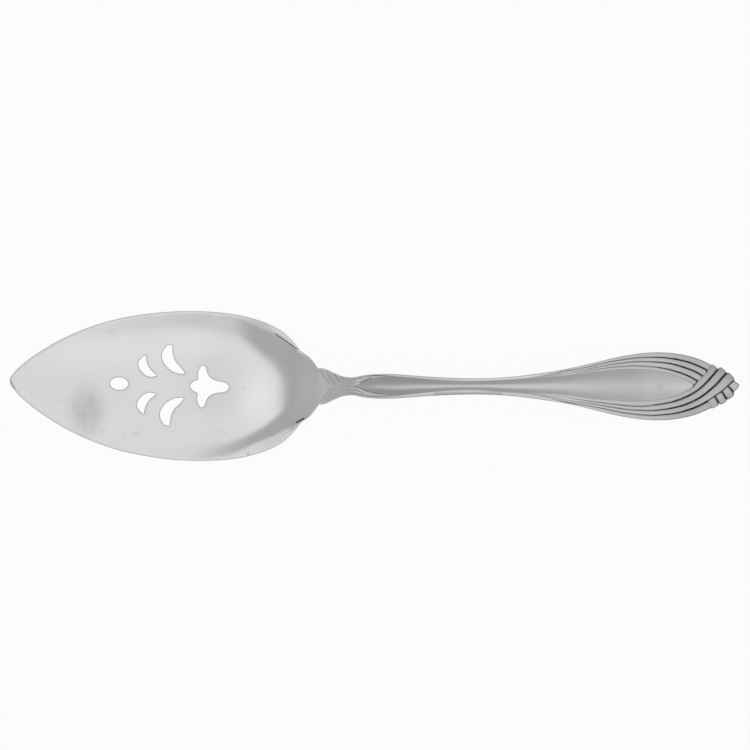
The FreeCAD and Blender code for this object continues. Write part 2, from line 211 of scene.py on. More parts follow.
# Edges of the handle's panel, above and below its middle in plan
panel_upper_backs = [(65.5, 3.7), (56.9, 4.7), (50.2, 5.5), (43.6, 6), (37, 6.05), (32.6, 5.75),
    (28.2, 5.05), (23.9, 3.7), (19.5, 1.85), (16.9, 0.45)]
panel_upper = track(stations(
    past=[(13.7, 0.02), (15.4, 1.7), (17.6, 2.4), (20.7, 3.25), (26.7, 3.3), (34, 2.9), (41.6, 2.25),
        (48.9, 1.85), (55.2, 1.75), (63.9, 2), (72.7, 2.5), (80.7, 3.05)],
    back=panel_upper_backs,
))
panel_lower_backs = [(65.5, -2.95), (54.5, -4.3), (48, -4.75), (41.4, -5.1), (34.8, -5.1), (30.4, -4.75),
    (26.1, -3.9), (21.7, -2.5), (18.2, -0.85), (16.9, 0.4)]
panel_lower = track(stations(
    past=[(13.7, -0.02), (16.8, -1.45), (20.7, -2.65), (26, -3.15), (30.3, -2.8), (37.6, -2.05), (45.3, -1.4),
        (59.6, -1.2), (68, -1.8), (80.7, -2.5)],
    back=panel_lower_backs,
))
# How far the panel stands up at its middle
panel_rise = track(stations(
    past=[(13.7, 0.1), (20, 0.62), (34, 0.55), (48, 0.36), (63, 0.32), (80, 0.45)],
    back=[(56, 0.65), (36, 0.8), (24, 0.5), (16.9, 0.05)],
))


def blade_middle(x):
    """The blade leans a little to one side of the handle's line."""
    share = (x - from_run(0)) / blade_length
    return tip_skew * (1 - share) ** 2 - heel_skew * share * (2 - share)


def smooth(share):
    share = np.clip(share, 0, 1)
    return share * share * (3 - 2 * share)


def hollow(share):
    """Wall that leaves the floor in a soft curve and then climbs straight."""
    bend = 0.5
    return np.where(share < bend, share ** 2 / (2 * bend), share - bend / 2) / (1 - bend / 2)


def blade_under(x, y):
    """Height of the sheet's underside: floor, hollow wall, and a lip that meets it in a fold."""
    floor = np.maximum(spine(x) - sheet / 2, 0)
    upper = y > blade_middle(x)
    rim = np.maximum(np.where(upper, rim_upper(x), rim_lower(x)), floor)
    rim = np.where(x > from_run(np.where(upper, *dish_runs)), rim, floor)
    lip_inside = blade_shape(x) - np.where(upper, lip_upper(x), lip_lower(x))
    floor_half = np.maximum(np.where(upper, floor_upper(x), floor_lower(x)), floor_least)
    across = np.abs(y - blade_middle(x))
    share = np.clip((across - floor_half) / (lip_inside - floor_half), 0, 1)
    climb = np.where(upper, *lip_climbs) * smooth((x - from_run(70.0)) / 12.0)
    climb = climb * smooth((from_run(112.0) - x) / 8.0)
    return floor + (rim - floor) * hollow(share) + climb * np.clip(across - lip_inside, 0, 5)


def core_top(x, y):
    """Height of the handle's crowned face, without the panel."""
    across = y / half_width(x)
    return spine(x) + thickness(x) * (0.5 - crown_fall * across * across)


def panel_dome(x, y):
    """Raised panel, whose crest lies nearer its lower edge at the neck's end."""
    upper = panel_upper(x)
    lower = panel_lower(x)
    crest = (upper + lower) / 2 - 0.55 * smooth((from_past(52.0) - x) / 20.0)
    above = np.clip((y - crest) / np.maximum(upper - crest, 0.05), 0, 1)
    below = np.clip((crest - y) / np.maximum(crest - lower, 0.05), 0, 1)
    inside = (x > from_past(panel_past)) & (x < from_back(panel_back)) & (y < upper) & (y > lower)
    return np.where(inside, panel_rise(x) * (1 - np.maximum(above, below) ** 1.8), 0)


# Places of the arrow-shaped grooves that cross the neck, each at its point, past the heel corner
neck_lines = (4.6, 6.8, 8.8, 10.3)


def neck_strap(x, y):
    """Low crowned straps that cross the neck in arrow shapes, with a fine groove between them."""
    reach = x - from_past(0) + 0.75 * np.sqrt(np.square(y) + 0.04)
    height = 0.0
    for start, end in zip(neck_lines, neck_lines[1:]):
        share = np.clip((reach - start) / (end - start), 0, 1)
        height = height + 1 - np.abs(2 * share - 1) ** 5
    return height


# Finish. Marks and lines are laid out on a plan, in columns to the right and rows
# downwards, with one step of the plan for each 0.365 mm.

plan_step = 0.365
plan_middle = (374.6, 386.3)


def plan_x(column):
    return (column - plan_middle[0]) * plan_step


def plan_y(row):
    return (plan_middle[1] - row) * plan_step


def add(tree, kind, links=(), fixed=(), **values):
    """A node with its settings, the sockets that feed it and its constant sockets."""
    node = tree.nodes.new(kind)
    for name, value in values.items():
        setattr(node, name, value)
    for index, source in links:
        tree.links.new(source, node.inputs[index])
    for index, value in fixed:
        node.inputs[index].default_value = value
    return node


def made(tree, kind, links=(), fixed=(), **values):
    """The first output of a new node."""
    return add(tree, kind, links, fixed, **values).outputs[0]


def maths(tree, how, *values, clamp=False):
    """Arithmetic on numbers and sockets."""
    node = add(tree, "ShaderNodeMath", operation=how, use_clamp=clamp)
    for index, value in enumerate(values):
        if isinstance(value, (int, float)):
            node.inputs[index].default_value = value
        else:
            tree.links.new(value, node.inputs[index])
    return node.outputs[0]


def times(tree, first, second, clamp=False):
    return maths(tree, "MULTIPLY", first, second, clamp=clamp)


def darken(tree, tone, dark, clamp=False):
    """The tone with the share that is dark taken away."""
    return times(tree, tone, maths(tree, "SUBTRACT", 1.0, dark, clamp=clamp))


def vectors(tree, how, first, second=None):
    """Arithmetic on vectors; the second is a socket or a constant vector."""
    node = add(tree, "ShaderNodeVectorMath", [(0, first)], operation=how)
    if isinstance(second, tuple):
        node.inputs[1].default_value = second
    elif second is not None:
        tree.links.new(second, node.inputs[1])
    return node.outputs["Value" if how in ("LENGTH", "DOT_PRODUCT") else "Vector"]


def fill_ramp(ramp, stops):
    elements = ramp.color_ramp.elements
    while len(elements) < len(stops):
        elements.new(0.5)
    for element, (place, value) in zip(elements, stops):
        element.position = place
        element.color = (value, value, value, 1)


def start_group(name, kind, inputs, output):
    """Group with named inputs and one output. It comes with the sockets of its inputs."""
    group = bpy.data.node_groups.new(name, kind)
    for label, value in inputs.items():
        group.interface.new_socket(label, in_out="INPUT", socket_type="NodeSocket" + value)
    value = inputs.get(output, "Float")
    group.interface.new_socket(output, in_out="OUTPUT", socket_type="NodeSocket" + value)
    return group, add(group, "NodeGroupInput").outputs


def end_group(group, far, inner, outer):
    """The mark is 1 up to the inner distance and fades to 0 at the outer one."""
    ramp = made(group, "ShaderNodeMapRange", [(0, far), (1, inner), (2, outer)], [(3, 1), (4, 0)],
                interpolation_type="SMOOTHSTEP")
    add(group, "NodeGroupOutput", [("Mark", ramp)])
    return group


def make_spot_group():
    """Soft round or oval mark at a place on the steel, 1 at its middle."""
    sockets = {"Place": "Vector", "Middle": "Vector", "Size": "Vector", "Softness": "Float"}
    group, given = start_group("Spot on steel", "ShaderNodeTree", sockets, "Mark")
    away = vectors(group, "SUBTRACT", given["Place"], given["Middle"])
    scaled = vectors(group, "DIVIDE", away, given["Size"])
    far = vectors(group, "LENGTH", vectors(group, "MULTIPLY", scaled, (1, 1, 0)))
    return end_group(group, far, maths(group, "SUBTRACT", 1.0, given["Softness"]),
                     maths(group, "ADD", 1.0, given["Softness"]))


def make_line_group():
    """Fine straight line between two places on the steel, 1 at its middle."""
    sockets = {"Place": "Vector", "Start": "Vector", "Reach": "Vector", "Half width": "Float"}
    group, given = start_group("Line on steel", "ShaderNodeTree", sockets, "Mark")
    flat = vectors(group, "MULTIPLY", vectors(group, "SUBTRACT", given["Place"], given["Start"]), (1, 1, 0))
    along = vectors(group, "DOT_PRODUCT", flat, given["Reach"])
    whole = vectors(group, "DOT_PRODUCT", given["Reach"], given["Reach"])
    share = maths(group, "DIVIDE", along, whole, clamp=True)
    nearest = made(group, "ShaderNodeVectorMath", [(0, given["Reach"]), ("Scale", share)], operation="SCALE")
    far = vectors(group, "LENGTH", vectors(group, "SUBTRACT", flat, nearest))
    return end_group(group, far, *(times(group, given["Half width"], share) for share in (0.5, 1.6)))


spot_group = make_spot_group()
line_group = make_line_group()


def spot(tree, place, column, row, wide, high, softness):
    """Soft mark on the plan, with its half sizes in millimetres."""
    fixed = [("Middle", (plan_x(column) * MM, plan_y(row) * MM, 0)), ("Size", (wide * MM, high * MM, 1)),
             ("Softness", softness)]
    return made(tree, "ShaderNodeGroup", [("Place", place)], fixed, node_tree=spot_group)


def add_lines(tree, place, dark, rows, darkest=False):
    """Adds fine lines to the darkness so far, or keeps the darkest where they meet."""
    for column, row, last_column, last_row, half, strength in rows:
        x, y = plan_x(column), plan_y(row)
        fixed = [("Start", (x * MM, y * MM, 0)),
                 ("Reach", ((plan_x(last_column) - x) * MM, (plan_y(last_row) - y) * MM, 0)),
                 ("Half width", half * MM)]
        line = made(tree, "ShaderNodeGroup", [("Place", place)], fixed, node_tree=line_group)
        if darkest:
            dark = maths(tree, "MAXIMUM", times(tree, line, strength), dark)
        else:
            dark = maths(tree, "MULTIPLY_ADD", line, strength, dark)
    return dark


def noise(tree, place, scale, stretch, detail):
    mapping = made(tree, "ShaderNodeMapping", [(0, place)], [("Scale", stretch)])
    return made(tree, "ShaderNodeTexNoise", [(0, mapping)], [("Scale", scale), ("Detail", detail)])


def attribute(tree, name):
    return add(tree, "ShaderNodeAttribute", attribute_name=name).outputs["Fac"]


def tone_along(tree, place, stops):
    """Tone that changes along the steel, from (column of the plan, value) stops."""
    first, last = stops[0][0], stops[-1][0]
    share = made(tree, "ShaderNodeMapRange", [(0, made(tree, "ShaderNodeSeparateXYZ", [(0, place)]))],
                 [(1, plan_x(first) * MM), (2, plan_x(last) * MM), (3, 0.0), (4, 1.0)])
    ramp = add(tree, "ShaderNodeValToRGB", [(0, share)])
    ramp.color_ramp.interpolation = "EASE"
    fill_ramp(ramp, [((column - first) / (last - first), value) for column, value in stops])
    return ramp.outputs[0]


# Worn spots of the blade, with broad patches of painted sheen and painted shade: place, half sizes and
# darkness, below 0 for painted sheen
wear_and_sheen_spots = (
    (124, 435, 0.6, 0.7, 0.10), (136, 433, 0.9, 1, 0.08), (110, 332, 1.3, 1, 0.07),
    (151, 326, 1.4, 0.8, 0.05), (242.9, 387.8, 0.45, 0.45, 0.13), (101, 432, 1.2, 0.8, 0.06),
    (60, 401, 0.8, 1, 0.05), (37, 364, 1, 0.5, 0.05), (248, 454, 0.5, 0.5, 0.3), (261, 398, 7, 9, -0.12),
    (115, 352, 26, 5.5, -0.06), (197, 343, 9, 4.5, -0.05), (214, 388, 8.5, 9.5, 0.08),
)
# Lines have a first and a last place, a half width in millimetres and a darkness. These are painted
# shade in the creases at the heel's corners, and painted shade along the tip's edge.
crease_shade_lines = (
    (275.5, 334, 297.5, 349.3, 0.15, 0.86), (290.4, 347.9, 297, 351.9, 0.1, 0.25),
    (296.4, 422.6, 303.8, 418.5, 0.24, 0.97), (10.6, 381, 14.8, 388.6, 0.25, 0.45),
)
# Painted shade in the lines between the neck's straps, between the stubs, and along the panel's ridge
strap_shade_lines = (
    (320, 370.4, 330.8, 385.2, 0.11, 0.5), (330.8, 387.8, 321.1, 401, 0.11, 0.45),
    (327.3, 373.4, 335.6, 383.6, 0.1, 0.45), (334.3, 388.7, 325.7, 399.5, 0.09, 0.2),
    (335, 374.5, 339.5, 381, 0.12, 0.6), (342, 376.5, 344, 380.6, 0.12, 0.5),
)
stub_shade_lines = (
    (709.6, 404.4, 711.1, 408, 0.13, 0.4), (714.6, 396.4, 719.8, 404.5, 0.17, 0.92),
    (721.2, 391, 727.2, 399.4, 0.17, 0.92), (727.6, 385.9, 734.3, 392.6, 0.17, 0.92),
)
ridge_shade_lines = ((376, 384.2, 417, 385.2, 0.12, 0.12),)
# Fine lines of painted shade at the panel's front point
fork_shade_lines = (
    (359.9, 382.4, 372, 378, 0.14, 0.7), (360, 379.6, 366, 378, 0.09, 0.35),
    (355.3, 386.2, 366, 391.2, 0.13, 0.7), (366, 391.2, 378.3, 393.6, 0.13, 0.6),
    (353.8, 389.3, 364, 393.4, 0.1, 0.5),
)
# Painted shade in the grooves of the leaf's end: places along each, then its half width and darkness
groove_shade_marks = (
    (((674, 358.6), (680, 359.9), (688, 362), (692, 363.2), (696, 364.8), (700, 366.4), (704, 368.5),
      (706.4, 369.9), (707, 372)), 0.19, 0.9),
    (((669, 363.3), (676, 364.9), (684, 367.1), (692, 370.2), (696, 372.2), (700, 374.4),
      (702.6, 376.1)), 0.15, 0.8),
    (((679, 372.2), (684, 374.1), (688, 375.8), (692, 377.9), (696.9, 381), (694.2, 385)), 0.15, 0.75),
    (((673, 400.9), (680, 398.7), (688, 395.4), (696, 390.6), (700, 387.6), (704, 383.9), (710, 377.6),
      (714, 373), (718.6, 367.2)), 0.12, 0.75),
    (((669, 408.1), (676, 406.8), (684, 404.5), (692, 401), (700, 396.8), (706, 392.4), (710, 389.1),
      (718, 381.3), (726.6, 372.6)), 0.13, 0.8),
    (((684, 410.8), (688, 409.5), (692, 408.2), (700, 404.8), (706, 401.5), (709, 400)), 0.19, 0.9),
    (((708.7, 400.5), (716.6, 395.2), (722.4, 391.2), (728.4, 385.9), (734.4, 380.7)), 0.15, 0.85),
)
end_shade_lines = tuple((*start, *end, half, strength) for points, half, strength in groove_shade_marks
                  for start, end in zip(points, points[1:]))
# The same painted groove shade on the steel between the strands. It is wider there, begins nearer to the
# neck and follows every second place.
floor_starts = ((655, 356.9), (655, 361.6), (658, 366.8), (655, 404.6), (655, 409.7), (655, 415.1))
floor_half = 0.5
floor_strength = 0.93
floor_shade_lines = tuple((*start, *end, floor_half, floor_strength)
                    for first, (points, half, strength) in zip(floor_starts, groove_shade_marks)
                    for path in [(first,) + points[::2] + points[-1:]]
                    for start, end in zip(path, path[1:]) if start != end)
# Parts of the lower outer strand that catch less light along the shaft
shade_lines = ((436, 395.2, 500, 393.6, 0.9, 0.33), (500, 393.6, 548, 395.5, 0.8, 0.14))

blade_tones = ((0, 0.99), (296, 0.99), (312, 1.03), (320, 1.04))
handle_tones = (
    (314, 0.95), (325, 0.97), (338, 1), (350, 0.95), (368, 0.8), (388, 0.72), (410, 0.76), (448, 0.84),
    (480, 0.83), (540, 0.88), (620, 0.94), (660, 1.12), (690, 1.28), (740, 1.28),
)
plait_tones = (
    (340, 1), (352, 0.95), (374, 0.82), (405, 0.84), (540, 1), (650, 1), (700, 0.76), (740, 0.76),
)


def blade_marks(tree, place, tone):
    """Streaked smudge near the tip, worn spots, patches of painted sheen and shade, a faint ring, and painted
    shade in the creases.
    """
    smudge = times(tree, spot(tree, place, 87, 408, 6.9, 9.6, 0.5), 0.19)
    heart = times(tree, spot(tree, place, 87, 411, 4.8, 6.9, 0.65), 0.24)
    streaks = maths(tree, "ADD", noise(tree, place, 1.0, (700, 260, 300), 3.0), 0.35)
    streaks = times(tree, streaks, 0.62, clamp=True)
    dark = times(tree, maths(tree, "ADD", smudge, heart), streaks)
    # Worn spots, and broad patches of painted sheen (darkness below 0) and painted shade
    for column, row, wide, high, strength in wear_and_sheen_spots:
        dark = maths(tree, "MULTIPLY_ADD", spot(tree, place, column, row, wide, high, 0.8), strength, dark)
    disc, hole = (spot(tree, place, 221.4, 433.9, size, size, 0.14) for size in (1.42, 1.05))
    ring = times(tree, maths(tree, "SUBTRACT", disc, hole), 0.11)
    # Painted shade in the creases at the heel and along the tip's edge
    dark = add_lines(tree, place, maths(tree, "ADD", dark, ring), crease_shade_lines)
    return darken(tree, tone, times(tree, dark, attribute(tree, "face")))


def handle_marks(tree, place, tone):
    """A worn spot on the panel, and painted shade in the lines between the straps and strands."""
    dark = times(tree, spot(tree, place, 660.5, 386, 0.9, 0.9, 0.8), 0.1)
    # Painted shade in the lines between the straps, stubs, fork and strands, and along the panel's ridge
    dark = add_lines(tree, place, dark, strap_shade_lines + stub_shade_lines + ridge_shade_lines + fork_shade_lines + floor_shade_lines)
    return darken(tree, tone, times(tree, dark, attribute(tree, "face")), clamp=True)


def plait_marks(tree, place, tone):
    """Painted shade in lines along the strands' edges, and painted shade on a strand's side where a groove is
    deep.
    """
    # Painted shade along the strands' edges
    dark = add_lines(tree, place, 0.0, fork_shade_lines + end_shade_lines + shade_lines, darkest=True)
    crown = attribute(tree, "crown")
    dark = times(tree, dark, maths(tree, "GREATER_THAN", crown, 0.02))
    tone = darken(tree, tone, dark)
    # Painted shade on a strand's low side, as strong as its groove's shade
    side = made(tree, "ShaderNodeMapRange", [(0, crown)], [(1, 0.55), (2, 0.94), (3, 1.0), (4, 0.0)],
                interpolation_type="SMOOTHSTEP")
    return darken(tree, tone, times(tree, side, attribute(tree, "groove")))


def satin_steel(name, stops, marks):
    """Satin steel with fine hairlines, toned along its length and marked by the given function."""
    steel = bpy.data.materials.new(name)
    steel.use_nodes = True
    tree = steel.node_tree
    tree.nodes.clear()
    place = add(tree, "ShaderNodeTexCoord").outputs["Object"]
    cloud = noise(tree, place, 45.0, (1, 1, 1), 2.0)
    mottle = noise(tree, place, 380.0, (1, 1, 1), 4.0)
    hairline = noise(tree, place, 1.0, (900, 14000, 4000), 2.0)
    crossline = noise(tree, place, 1.0, (12000, 1500, 4000), 2.0)

    tone = maths(tree, "MULTIPLY_ADD", cloud, 0.07, 0.965)
    tone = times(tree, tone, maths(tree, "ADD", times(tree, mottle, 0.035), 0.9825))
    tone = marks(tree, place, times(tree, tone, tone_along(tree, place, stops)))
    colour = add(tree, "ShaderNodeMix", [(0, tone)], [(6, (0, 0, 0, 1)), (7, (0.66, 0.66, 0.662, 1))],
                 data_type="RGBA", clamp_factor=False)

    rough = maths(tree, "MULTIPLY_ADD", mottle, 0.06, 0.27)
    rough = maths(tree, "ADD", rough, times(tree, hairline, 0.05))

    height = maths(tree, "ADD", times(tree, hairline, 0.6), times(tree, crossline, 0.4))
    brushed = made(tree, "ShaderNodeBump", [("Height", height)], [("Strength", 0.12), ("Distance", 0.00002)])
    wavy = made(tree, "ShaderNodeBump", [("Height", cloud), ("Normal", brushed)],
                [("Strength", 0.35), ("Distance", 0.0006)])
    shader = made(tree, "ShaderNodeBsdfPrincipled",
                  [("Base Color", colour.outputs[2]), ("Roughness", rough), ("Normal", wavy)],
                  [("Metallic", 1.0)])
    add(tree, "ShaderNodeOutputMaterial", [(0, shader)])
    return steel


# Blade: a pierced sheet with rounded edges. The distances are those between the points of its
# outline, its holes and its flat faces.

outline_spacing = 0.55
hole_spacing = 0.28
grid_spacing = 0.95
grid_rows = 32
# Middle of the piercings' pattern, and how far it leans
pattern_run = 71.4
pattern_aside = -0.1
pattern_tilt = math.radians(1.97)


def inside(points, loop):
    """Which points lie inside a closed loop."""
    x, y = points[:, 0][:, None], points[:, 1][:, None]
    ax, ay = loop[:, 0][None], loop[:, 1][None]
    bx, by = np.roll(loop[:, 0], -1)[None], np.roll(loop[:, 1], -1)[None]
    crosses = (ay > y) != (by > y)
    gap = np.where(by == ay, 1e-9, by - ay)
    return np.sum(crosses & (x < (bx - ax) * (y - ay) / gap + ax), axis=1) % 2 == 1


def closed_even(points, spacing):
    """Closed line with its points at even distances, running anticlockwise."""
    line = np.vstack([points, points[:1]])
    reach = np.hypot(*np.diff(line, axis=0).T).sum()
    line = spread(line, max(8, int(reach / spacing)) + 1)[:-1]
    x, y = line.T
    area = np.sum(x * np.roll(y, -1) - np.roll(x, -1) * y)
    return line if area > 0 else line[::-1]


def inwards(loop):
    """Unit vectors square to an anticlockwise loop, towards its inside."""
    along = np.roll(loop, -1, 0) - np.roll(loop, 1, 0)
    along /= np.hypot(*along.T)[:, None]
    return np.column_stack([-along[:, 1], along[:, 0]])


def blade_outline():
    """Outline that runs on inside the handle, so that the sheet's end doesn't show."""
    x = from_run(np.linspace(nose_run, blade_length, 440))
    inside_x = from_past(np.linspace(0.2, 3.0, 12))
    turn = np.linspace(-1, 1, 40)[1:-1]
    nose_x = from_run(nose_run * turn ** 2)
    nose = np.column_stack([nose_x, blade_middle(nose_x) + nose_half * turn])
    sides = []
    for side in (1, -1):
        edge = np.column_stack([x, blade_middle(x) + side * blade_shape(x)])
        hidden = np.column_stack([inside_x, side * (half_width(inside_x) - 0.25)])
        sides.append(np.vstack([edge, hidden]))
    return closed_even(np.vstack([sides[1][::-1], nose, sides[0]]), outline_spacing)


def pattern_point(ahead, aside):
    """Point of the piercings' own pattern: ahead is towards the tip."""
    x = from_run(pattern_run) - ahead * math.cos(pattern_tilt) + aside * math.sin(pattern_tilt)
    y = pattern_aside + ahead * math.sin(pattern_tilt) + aside * math.cos(pattern_tilt)
    return x, y


def hole_loop(runs):
    """Closed loop of a hole, from curves that follow one another."""
    lines = [curve_through([pattern_point(*point) for point in run], 60)[:-1] for run in runs]
    return closed_even(np.vstack(lines), hole_spacing)


def piercing_loops():
    """The fleur, the small and large crescents on both sides, and the eye."""
    small_outer = [(22.2, 10.8), (24.6, 7.7), (23.2, 4.6), (20, 2.9), (17.8, 3.3)]
    small_inner = [(17.9, 3.6), (20.1, 5.5), (21.6, 8.2), (22, 10.8)]
    large_outer = [(14.4, 14.5), (16.1, 11.2), (14.9, 7.6), (11.6, 5), (8, 4.3)]
    large_inner = [(7.7, 4.9), (9.2, 6.7), (11.2, 8.9), (12.3, 12.1), (12.5, 14.7)]
    lobe = [(2.45, -2.4), (4.3, -1.6), (5.4, 0), (4.3, 1.6), (2.45, 2.4)]
    arm = [(2.45, 2.4), (2.65, 4.8), (2, 6.8), (0.85, 7.65), (0.05, 6.9), (-0.5, 5.2),
           (-1.6, 3.45), (-3.6, 2.35), (-6.5, 1.75), (-7.9, 1.25), (-8.8, 0)]
    other_arm = [(ahead, -aside) for ahead, aside in reversed(arm)]
    loops = [hole_loop([lobe, arm, other_arm])]
    for outer, inner in ((small_outer, small_inner), (large_outer, large_inner)):
        for side in (1, -1):
            first = [(a, side * b) for a, b in outer]
            second = [(a, side * b) for a, b in inner]
            loops.append(hole_loop([first, [first[-1], second[0]], second, [second[-1], first[0]]]))
    turns = np.linspace(0, 2 * math.pi, 60, endpoint=False)
    eye = np.array([pattern_point(31.4 + 3.3 * math.cos(turn), 2.25 * math.sin(turn)) for turn in turns])
    loops.append(closed_even(eye, hole_spacing))
    return loops


def put(name, data):
    """An object in the scene, from its mesh, lamp or camera."""
    item = bpy.data.objects.new(name, data)
    bpy.context.scene.collection.objects.link(item)
    return item


def keep_values(mesh, name, values):
    """Keeps one number for each point of the mesh."""
    layer = mesh.attributes.new(name, "FLOAT", "POINT")
    layer.data.foreach_set("value", np.array(values, dtype=np.float32).ravel())


def mesh_object(name, verts, faces, material):
    """Smooth mesh from points in millimetres."""
    mesh = bpy.data.meshes.new(name)
    mesh.from_pydata([tuple(v) for v in np.asarray(verts) * MM], [], [tuple(f) for f in faces])
    mesh.validate()
    mesh.update()
    mesh.shade_smooth()
    mesh.materials.append(material)
    return put(name, mesh)


def in_sheet(points, outer, holes):
    """Which points lie inside the outer loop and in none of the holes."""
    keep = inside(points, outer)
    for hole in holes:
        keep &= ~inside(points, hole)
    return keep


def flat_faces(insets, holes):
    """Points and triangles that fill the sheet between its inset borders."""
    grid = [(from_run(0) + grid_spacing * (i + 0.5 * (j % 2)), 0.866 * grid_spacing * j)
            for j in range(-grid_rows, grid_rows + 1)
            for i in range(int(blade_length / grid_spacing) + 1)]
    grid = np.array(grid)
    grid = grid[in_sheet(grid, insets[0], holes)]
    border = np.vstack(insets)
    near = np.array([np.min(np.hypot(*(border - point).T)) for point in grid])
    points = np.vstack([border, grid[near > 0.55 * grid_spacing]])
    edges = []
    start = 0
    for loop in insets:
        count = len(loop)
        edges += [(start + i, start + (i + 1) % count) for i in range(count)]
        start += count
    found = delaunay_2d_cdt([tuple(p) for p in points], edges, [], 0, 1e-7)
    flat = np.array([tuple(v) for v in found[0]])
    triangles = np.array(found[2])
    centre = flat[triangles].mean(axis=1)
    return flat, triangles[in_sheet(centre, insets[0], insets[1:])]


def make_blade(material):
    """Two flat faces, joined round the outline and round each hole by a rounded edge."""
    outline = blade_outline()
    holes = piercing_loops()
    loops = [(outline, inwards(outline))] + [(hole, -inwards(hole)) for hole in holes]
    insets = [loop + edge_round * normal for loop, normal in loops]
    flat, triangles = flat_faces(insets, holes)
    count = len(flat)
    low = blade_under(flat[:, 0], flat[:, 1])
    verts = [np.column_stack([flat, low + sheet]), np.column_stack([flat, low])]
    faces = [tuple(t) for t in triangles]
    faces += [tuple(t[::-1] + count) for t in triangles]
    total = 2 * count
    start = 0
    for number, ((loop, normal), inset) in enumerate(zip(loops, insets)):
        size = len(loop)
        base = blade_under(inset[:, 0], inset[:, 1])
        rings = [np.arange(start, start + size)]
        for over, turn in ((True, 30), (True, 60), (True, 90), (False, 90), (False, 60), (False, 30)):
            angle = math.radians(turn)
            place = loop + normal * edge_round * (1 - math.sin(angle))
            drop = edge_round * (1 - math.cos(angle))
            height = base + (sheet - drop if over else drop)
            verts.append(np.column_stack([place, height]))
            rings.append(np.arange(total, total + size))
            total += size
        rings.append(np.arange(start, start + size) + count)
        for upper, lower in zip(rings, rings[1:]):
            for i in range(size):
                j = (i + 1) % size
                face = (upper[i], lower[i], lower[j], upper[j])
                faces.append(face if number == 0 else face[::-1])
        start += size
    piece = mesh_object("blade", np.vstack(verts), faces, material)
    on_face = np.zeros(total)
    on_face[:count] = 1
    keep_values(piece.data, "face", on_face)
    return piece


# Handle core. Its section is in shares of its half width: edge of the top, steps down the side
# with the share of the drop, and the underside.

top_edge = 0.94
side_steps = ((0.985, 0.25), (1.0, 0.5), (0.985, 0.78))
under_shares = (0.94, 0.86, 0.7, 0.45, 0.15, -0.15, -0.45, -0.7, -0.86, -0.94)


def make_core(material):
    """Arched core of the handle, with the panel and the neck's straps on its top."""
    places = np.concatenate([
        from_past(np.linspace(-2.5, 12, 130)),
        from_past(np.linspace(12.25, 60, 150)),
        from_back(np.linspace(93.3, 1.6, 230)),
    ])
    rings = []
    top_share = np.sin(np.linspace(-1, 1, 61) * math.pi / 2) * top_edge
    top_share = 0.6 * top_share + 0.4 * np.linspace(-top_edge, top_edge, 61)
    for x in places:
        half = half_width(x) - core_inset * float(smooth((x - from_past(10.0)) / 4.0))
        half += 0.1 * float(neck_strap(x, half))
        deep = thickness(x)
        nose = min(1.0, (from_back(1.0) - x) / 2.2 + 0.15) if x > from_back(3.2) else 1.0
        half = half * math.sqrt(nose)
        y = top_share * half
        top = core_top(x, y) + panel_dome(x, y) + 0.09 * neck_strap(x, y)
        points = [(x, a, b) for a, b in zip(y, top)]
        side_top = top[-1]
        side_bottom = spine(x) - 0.24 * deep
        for share, drop in side_steps:
            points.append((x, share * half, side_top + (side_bottom - side_top) * drop))
        for share in under_shares:
            points.append((x, share * half, spine(x) - deep * (0.5 - 0.28 * share * share)))
        for share, drop in side_steps[::-1]:
            points.append((x, -share * half, top[0] + (side_bottom - top[0]) * drop))
        rings.append(points)
    size = len(rings[0])
    verts = np.array(rings).reshape(-1, 3)
    faces = []
    for r in range(len(rings) - 1):
        for i in range(size):
            j = (i + 1) % size
            a = r * size
            faces.append((a + i, a + size + i, a + size + j, a + j)[::-1])
    faces.append(tuple(range(size)))
    last = (len(rings) - 1) * size
    faces.append(tuple(last + i for i in range(size))[::-1])
    piece = mesh_object("handle", verts, faces, material)
    on_face = np.zeros((len(rings), size))
    on_face[:, :len(top_share)] = 1
    keep_values(piece.data, "face", on_face)
    return piece


# Plait: strands that lie between two lines in plan

# Columns of the plan between which the grooves of the leaf's end open
opening_from = 655.0
opening_to = 680.0


def between(first, second, count):
    """Middle line and half width of a strand, from the two lines at its sides."""
    first = curve_through(first, count)
    second = curve_through(second, count)
    middle = (first + second) / 2
    along = np.gradient(middle, axis=0)
    along /= np.hypot(*along.T)[:, None]
    gap = second - first
    half = np.abs(gap[:, 0] * along[:, 1] - gap[:, 1] * along[:, 0]) / 2
    return middle, half


